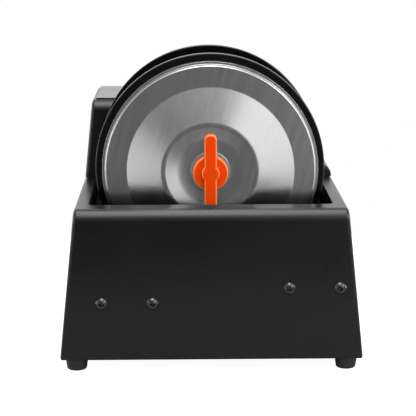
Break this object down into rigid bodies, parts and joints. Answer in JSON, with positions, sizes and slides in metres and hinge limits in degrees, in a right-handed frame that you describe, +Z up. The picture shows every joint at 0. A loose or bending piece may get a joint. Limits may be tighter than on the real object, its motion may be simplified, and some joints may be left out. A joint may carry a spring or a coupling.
{
  "type": "rotary drum tumbler",
  "caption": "Bench-top rotary drum tumbler: a flanged drum with a clamped steel lid rides on grooved wheels in an open trough, driven by a belt and motor in a tower behind it.",
  "frame": {"origin": "middle of the footprint, on the bench under the feet", "axes": "+Z up, +Y from the lid end towards the motor tower, +X to the right seen from the lid end"},
  "size_m": [0.2884, 0.3072, 0.2961],
  "materials": {
    "barrel_steel": "satin black enamel",
    "bearing_steel": "ground steel",
    "board_green": "solder mask",
    "brass": "turned brass",
    "button_grey": "fine matt",
    "cast_grey": "cast, painted grey",
    "display": "grey-green liquid crystal",
    "flange_black": "smooth black, slightly glossy rim",
    "housing": "fine pebble texture, black",
    "inlet_black": "smooth black",
    "knob_orange": "glossy orange",
    "lens": "smoked",
    "lid_steel": "brushed in one direction",
    "nylon_white": "natural nylon",
    "panel_black": "satin black overlay",
    "pulley_alloy": "turned alloy",
    "rubber": "matt black rubber",
    "screw_black": "black oxide, slightly glossy",
    "steel_plate": "galvanised sheet",
    "tyre_rubber": "grooved rubber tread",
    "zinc_steel": "zinc plated"
  },
  "bodies": {
    "base": {"ball_bearings": "bearing_steel", "base_plate": "steel_plate", "bearing_fasteners": "screw_black", "belt": "rubber", "bulkhead": "steel_plate", "bulkhead_screws": "zinc_steel", "control_board": "board_green", "control_panel": "panel_black", "display_lens": "lens", "display_module": "display", "drive_bearing_front": "cast_grey", "drive_bearing_rear": "cast_grey", "foot_front_left": "rubber", "foot_front_right": "rubber", "foot_rear_left": "rubber", "foot_rear_right": "rubber", "foot_screws": "zinc_steel", "fuse_holder": "inlet_black", "housing_shell": "housing", "idler_bearing_front": "cast_grey", "idler_bearing_rear": "cast_grey", "inlet_pins": "brass", "motor_case": "cast_grey", "motor_standoffs": "zinc_steel", "power_board": "board_green", "power_inlet": "inlet_black", "power_switch": "inlet_black", "rear_panel": "steel_plate", "rear_panel_screws": "screw_black", "tower_cover": "housing"},
    "drum": {"front_flange": "flange_black", "rear_flange": "flange_black", "drum_barrel": "barrel_steel", "drum_liner": "rubber", "drum_bolts": "zinc_steel", "lid_gasket": "rubber", "lid_pan": "lid_steel", "lid_bar": "zinc_steel", "lid_stud": "zinc_steel", "lid_washer": "zinc_steel"},
    "wing_knob": {"wing_knob": "knob_orange", "knob_insert": "brass"},
    "drive_axle": {"drive_axle": "zinc_steel", "drive_collar": "zinc_steel", "drive_pulley": "pulley_alloy", "drive_tyre_front": "tyre_rubber", "drive_tyre_rear": "tyre_rubber", "drive_wheel_hubs": "nylon_white"},
    "idler_axle": {"idler_axle": "zinc_steel", "idler_collar": "zinc_steel", "idler_tyre_front": "tyre_rubber", "idler_tyre_rear": "tyre_rubber", "idler_wheel_hubs": "nylon_white"},
    "motor_rotor": {"motor_shaft": "zinc_steel", "motor_pulley": "pulley_alloy", "motor_fan": "nylon_white"},
    "button_1": {"button_1": "button_grey"},
    "button_2": {"button_2": "button_grey"},
    "button_3": {"button_3": "button_grey"},
    "power_rocker": {"power_rocker": "inlet_black"}
  },
  "joints": [
    {"name": "drum_spin", "type": "hinge", "parent": "base", "child": "drum", "pos_m": [0, -0.075, 0.18409], "axis": [0, 1, 0], "continuous": true},
    {"name": "knob_turn", "type": "hinge", "parent": "drum", "child": "wing_knob", "pos_m": [0, -0.098, 0.18409], "axis": [0, -1, 0], "range_deg": [0, 360]},
    {"name": "drive_axle_spin", "type": "hinge", "parent": "base", "child": "drive_axle", "pos_m": [-0.0801, 0, 0.06684], "axis": [0, 1, 0], "continuous": true},
    {"name": "idler_axle_spin", "type": "hinge", "parent": "base", "child": "idler_axle", "pos_m": [0.0976, 0, 0.08095], "axis": [0, 1, 0], "continuous": true},
    {"name": "motor_spin", "type": "hinge", "parent": "base", "child": "motor_rotor", "pos_m": [-0.0625, 0.0704, 0.1741], "axis": [0, 1, 0], "continuous": true},
    {"name": "button_1_press", "type": "slide", "parent": "base", "child": "button_1", "axis": [0, 0, -1], "range_m": [0, 0.001], "stiffness_N_per_m": 400},
    {"name": "button_2_press", "type": "slide", "parent": "base", "child": "button_2", "axis": [0, 0, -1], "range_m": [0, 0.001], "stiffness_N_per_m": 400},
    {"name": "button_3_press", "type": "slide", "parent": "base", "child": "button_3", "axis": [0, 0, -1], "range_m": [0, 0.001], "stiffness_N_per_m": 400},
    {"name": "rocker_tilt", "type": "hinge", "parent": "base", "child": "power_rocker", "pos_m": [-0.062, 0.1455, 0.0736], "axis": [1, 0, 0], "range_deg": [0, 16]}
  ],
  "couplings": [
    {"joint": "drive_axle_spin", "follows": "drum_spin", "ratio": -3.771},
    {"joint": "idler_axle_spin", "follows": "drum_spin", "ratio": -3.771},
    {"joint": "motor_spin", "follows": "drum_spin", "ratio": -19.163}
  ]
}
